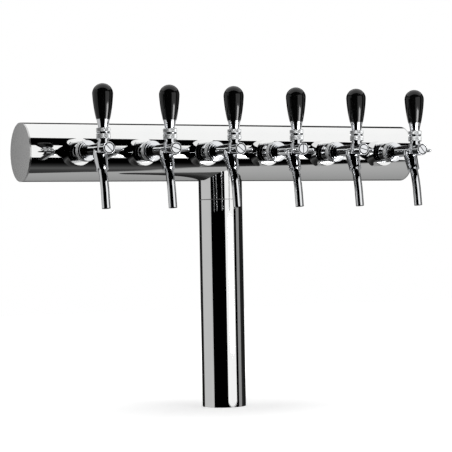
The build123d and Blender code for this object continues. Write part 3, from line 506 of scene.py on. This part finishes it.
knurled_chrome = buffed_metal(
    "chrome_plated_knurled_brass", ("#F0F1F1", "#E2E4E5"), (0.45, 0.6), 3, 2, 0.01
)
finish_nodes(turned_chrome, "coupling_nuts")
mesh = bmesh.new()
for x in TAP_XS:
    knurled_band(
        mesh,
        COUPLING_TEETH,
        COUPLING_VALLEY_R,
        COUPLING_CREST_R,
        COUPLING_SKIN,
        COUPLING_BAND[1] - COUPLING_BAND[0],
        COUPLING_BEVEL,
        ahead_of_boss(x, COUPLING_BAND[0]),
    )
finished(mesh, "coupling_knurls", knurled_chrome, "root")

# --- Tap bodies: brass castings, fettled, polished and chrome plated in one piece ---
# A cast skin under the plating keeps a slow wave about 7 mm long, so that reflections run in
# soft-edged streaks. The groove round each plug gets painted shade: a near-black colour, made
# rough.
HEAD_FRONT = 0.136
GROOVE_SHADE_DEPTHS = (HEAD_FRONT - 0.0021, HEAD_FRONT - 0.00005)
GROOVE_SHADE_RADII = (0, 0.00943)
# Painted shade: the near-black colour and roughness laid into the grooves, slots and face edges of
# heads and plugs.
PAINTED_SHADE_BLACK = "#0C0C0C"
PAINTED_SHADE_ROUGH = 0.7


def paint_shade_between(material, depths, radii):
    """Paint shade, near black and rough, between two depths ahead of the boss's face and two radii.

    The radii are about each tap's level axis.
    """
    tree = material.node_tree
    shader = tree.nodes["Principled BSDF"]
    colour, roughness = shader.inputs["Base Color"], shader.inputs["Roughness"]
    where = node(tree, "ShaderNodeTexCoord").outputs["Object"]
    spot = node(tree, "ShaderNodeSeparateXYZ", Vector=where)
    shifted = node(
        tree, "ShaderNodeMath", {"operation": "ADD", 1: TAP_PITCH / 2}, _0=spot.outputs["X"]
    )
    across = node(
        tree,
        "ShaderNodeMath",
        {"operation": "WRAP", 1: TAP_PITCH / 2, 2: -TAP_PITCH / 2},
        _0=shifted.outputs[0],
    )
    above = node(
        tree, "ShaderNodeMath", {"operation": "SUBTRACT", 1: TAP_Z}, _0=spot.outputs["Z"]
    )
    flat = node(tree, "ShaderNodeCombineXYZ", X=across.outputs[0], Y=above.outputs[0])
    radius = node(tree, "ShaderNodeVectorMath", {"operation": "LENGTH"}, _0=flat.outputs[0])
    ringed = node(
        tree,
        "ShaderNodeMath",
        {"operation": "COMPARE", 1: sum(radii) / 2, 2: (radii[1] - radii[0]) / 2},
        _0=radius.outputs["Value"],
    )
    sunk = node(
        tree,
        "ShaderNodeMath",
        {
            "operation": "COMPARE",
            1: BOSS_FACE_Y - sum(depths) / 2,
            2: (depths[1] - depths[0]) / 2,
        },
        _0=spot.outputs["Y"],
    )
    share = node(
        tree, "ShaderNodeMath", {"operation": "MULTIPLY"}, _0=ringed.outputs[0], _1=sunk.outputs[0]
    )
    # The painted shade: the colour is mixed to near black inside the mask.
    shaded_colour = node(
        tree,
        "ShaderNodeMix",
        {"data_type": "RGBA", 7: linear(PAINTED_SHADE_BLACK)},
        _0=share.outputs[0],
        _6=colour.links[0].from_socket,
    )
    duller = node(
        tree,
        "ShaderNodeMix",
        {3: PAINTED_SHADE_ROUGH},
        _0=share.outputs[0],
        _2=roughness.links[0].from_socket,
    )
    tree.links.new(shaded_colour.outputs[2], colour)
    tree.links.new(duller.outputs[0], roughness)


cast_chrome = buffed_metal(
    "chrome_plated_cast_brass", ("#E8E9EB", "#DDDFE2"), (0.035, 0.08), 8, 7, 0.01
)
# Painted shade in the groove round each plug.
paint_shade_between(cast_chrome, GROOVE_SHADE_DEPTHS, GROOVE_SHADE_RADII)
finish_nodes(cast_chrome, "tap_bodies")

# --- Head rims: the rounded front edge of each head ---
# The casting's front edge is left soft by the polishing wheel, as a bead just over half a
# millimetre across that catches a fine dark line round the plug.
RIM_BEAD_R = 0.0003
RIM_BEAD_AT = 0.01015
RIM_BEAD_BACK = 0.0001
mesh = bmesh.new()
for x in TAP_XS:
    bead = bmesh.ops.create_circle(
        mesh,
        segments=12,
        radius=RIM_BEAD_R,
        matrix=Matrix.Translation((RIM_BEAD_AT, 0, 0)) @ QUARTER_TURN,
    )["verts"]
    section = list({edge for vert in bead for edge in vert.link_edges})
    before = set(mesh.verts) - set(bead)
    bmesh.ops.spin(
        mesh,
        geom=bead + section,
        cent=(0, 0, 0),
        axis=(0, 0, 1),
        angle=2 * pi,
        steps=72,
        use_merge=True,
    )
    place = ahead_of_boss(x, HEAD_FRONT - RIM_BEAD_BACK)
    bmesh.ops.transform(mesh, matrix=place, verts=list(set(mesh.verts) - before))
finished(mesh, "head_rims", cast_chrome, "root")

# --- Spouts: drawn brass pipe, bent and chrome plated ---
# Drawn pipe is smoother than the casting, with a longer and shallower wave.
drawn_chrome = buffed_metal(
    "chrome_plated_drawn_brass", ("#EAEBEC", "#E2E4E6"), (0.03, 0.05), 10, 12, 0.003
)
finish_nodes(drawn_chrome, "spout_tubes")

# --- Front plugs: slotted discs that close the heads ---
# Turned and plated like the shanks; the flat face mirrors the window. The slot and a ring round
# the edge of the face get painted shade: a near-black colour, made rough.
SLOT_SHADE_DEPTHS = (HEAD_FRONT - 0.010, HEAD_FRONT + 0.0001)
SLOT_SHADE_RADII = (0, 0.009)
FACE_EDGE_SHADE_DEPTHS = (HEAD_FRONT + 0.0001, HEAD_FRONT + 0.0005)
FACE_EDGE_SHADE_RADII = (0.0075, 0.009)
slotted_chrome = buffed_metal("chrome_plated_slotted_brass", *TURNED_CHROME)
# Painted shade in the slot.
paint_shade_between(slotted_chrome, SLOT_SHADE_DEPTHS, SLOT_SHADE_RADII)
# Painted shade as a dark ring round the edge of the face.
paint_shade_between(slotted_chrome, FACE_EDGE_SHADE_DEPTHS, FACE_EDGE_SHADE_RADII)
finish_nodes(slotted_chrome, "front_plugs")

# --- Bonnet nuts: domed ring nuts on the necks, knurled for the fingers ---
# Finer straight knurl, teeth about 1.2 mm apart, rolled between the plain edges.
HANDLE_Y = BOSS_FACE_Y - 0.111
RING_VALLEY_R = 0.01177
RING_CREST_R = 0.01205
RING_TEETH = 62
RING_SKIN = 0.0005
RING_BEVEL = 0.0003
BONNET_BAND = (0.0167, 0.0247)


def ring_knurl(mesh, x, band):
    """A knurled ring on a tap's upright axis, between two heights over its level axis."""
    knurled_band(
        mesh,
        RING_TEETH,
        RING_VALLEY_R,
        RING_CREST_R,
        RING_SKIN,
        band[1] - band[0],
        RING_BEVEL,
        Matrix.Translation((x, HANDLE_Y, TAP_Z + band[0])),
    )


finish_nodes(turned_chrome, "bonnet_nuts")
mesh = bmesh.new()
for x in TAP_XS:
    ring_knurl(mesh, x, BONNET_BAND)
finished(mesh, "bonnet_knurls", knurled_chrome, "root")

# --- Handle levers: turned stainless pins that hold the handle and push the plunger ---
# They are hidden in use, and stay as machined.
finish_nodes(machined_stainless, *[f"handle_lever_{tap}" for tap in TAPS])

# --- Handle ferrules: chrome-plated feet of the handles, with a knurled skirt below ---
# The skirt carries the same knurl as the bonnet nut under it, so the pair reads as two rings.
SKIRT_BAND = (0.0280, 0.0342)
for tap, x in zip(TAPS, TAP_XS):
    finish_nodes(turned_chrome, f"handle_ferrule_{tap}")
    mesh = bmesh.new()
    ring_knurl(mesh, x, SKIRT_BAND)
    finished(mesh, f"ferrule_knurl_{tap}", knurled_chrome, f"handle_{tap}")

# --- Handle knobs: moulded grips screwed on the levers ---
# Black phenolic, moulded and polished: jet black with a hard gloss, a slight moulding wave and
# a trace of haze where hands hold it.
KNOB_HAZE_MM = 15
KNOB_WAVE_MM = 12
black_phenolic, tree, where = surface("black_phenolic_moulded")
haze = node(
    tree, "ShaderNodeTexNoise", {"Scale": MM_IN_A_METRE / KNOB_HAZE_MM, "Detail": 5.0}, Vector=where
)
wave = node(
    tree, "ShaderNodeTexNoise", {"Scale": MM_IN_A_METRE / KNOB_WAVE_MM, "Detail": 1.0}, Vector=where
)
lay_finish(
    tree,
    ("#060606", "#0C0C0C"),
    (0.06, 0.12),
    haze.outputs["Fac"],
    wave.outputs["Fac"],
    depth=0.02,
    optics={"IOR": 1.5, "Specular IOR Level": 0.38},
)
finish_nodes(black_phenolic, *[f"handle_knob_{tap}" for tap in TAPS])

# --- Flow compensators and plungers: gland and lever outside, plastic cone and plunger inside ---
# Gland and lever are chrome-plated turned brass. Cone and plunger are turned acetal: warm
# white, smooth and faintly waxy.
ACETAL_CLOUD_MM = 5
acetal, tree, where = surface("white_turned_acetal")
cloud = node(
    tree,
    "ShaderNodeTexNoise",
    {"Scale": MM_IN_A_METRE / ACETAL_CLOUD_MM, "Detail": 3.0},
    Vector=where,
).outputs["Fac"]
lay_finish(
    tree,
    ("#EDEAE0", "#E2DED2"),
    (0.25, 0.4),
    cloud,
    cloud,
    depth=0.03,
    optics={"IOR": 1.48},
    strength=0.4,
)
finish_nodes(turned_chrome, "compensator_glands")
for tap in TAPS:
    finish_nodes(turned_chrome, f"compensator_lever_{tap}")
    finish_nodes(acetal, f"compensator_cone_{tap}", f"valve_plunger_{tap}")

# --- Beer lines: 8 mm food-grade polythene tubes from the shanks down the column ---
# Extruded natural polythene: milky, slightly see-through, with faint cloudy marks.
LINE_CLOUD_MM = 6
polythene, tree, where = surface("extruded_polythene")
cloud = node(
    tree,
    "ShaderNodeTexNoise",
    {"Scale": MM_IN_A_METRE / LINE_CLOUD_MM, "Detail": 3.0},
    Vector=where,
).outputs["Fac"]
lay_finish(
    tree,
    ("#E6EAEA", "#D6DCDD"),
    (0.25, 0.4),
    cloud,
    cloud,
    depth=0.04,
    optics={"IOR": 1.51, "Transmission Weight": 0.3},
    strength=0.3,
)
finish_nodes(polythene, "beer_lines")
